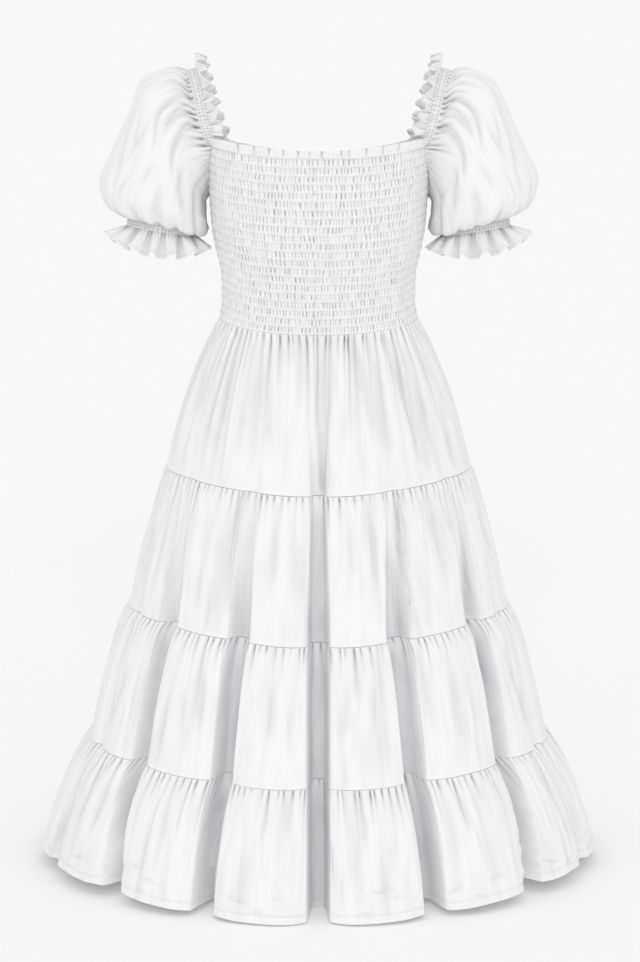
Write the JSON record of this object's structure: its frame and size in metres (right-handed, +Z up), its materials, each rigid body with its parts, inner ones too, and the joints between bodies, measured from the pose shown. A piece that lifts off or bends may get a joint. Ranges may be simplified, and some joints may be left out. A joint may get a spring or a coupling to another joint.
{
  "type": "tiered peasant dress",
  "caption": "Filled-out white cotton midi dress with a shirred bodice, frilled square neckline, puff sleeves on elastic bands and a gathered skirt in tiers.",
  "frame": {"origin": "midway between the two shoulder bands at the top of the shoulders, where the wearer carries the dress", "axes": "+Z up along the wearer, +X to the wearer's left, and -Y towards the front of the dress"},
  "size_m": [0.7964, 0.6212, 1.1432],
  "materials": {
    "cotton": "white cotton poplin, matt, softly creased",
    "shirred_cotton": "white cotton poplin drawn up in rows of elastic thread",
    "elastic_cotton": "white cotton band drawn up on narrow elastic"
  },
  "bodies": {
    "root": {"bodice_front": "shirred_cotton", "bodice_back": "shirred_cotton", "neck_frill_front": "cotton", "neck_frill_back": "cotton", "skirt_tier_1_front": "cotton", "skirt_tier_1_back": "cotton", "skirt_tier_2_front": "cotton", "skirt_tier_2_back": "cotton", "skirt_tier_3_front": "cotton", "skirt_tier_3_back": "cotton", "skirt_tier_4_front": "cotton", "skirt_tier_4_back": "cotton", "sleeve_right": "cotton", "sleeve_left": "cotton", "shoulder_band_right": "elastic_cotton", "shoulder_band_left": "elastic_cotton", "shoulder_frill_right": "cotton", "shoulder_frill_left": "cotton", "cuff_band_right": "elastic_cotton", "cuff_band_left": "elastic_cotton", "cuff_frill_right": "cotton", "cuff_frill_left": "cotton"}
  },
  "joints": []
}
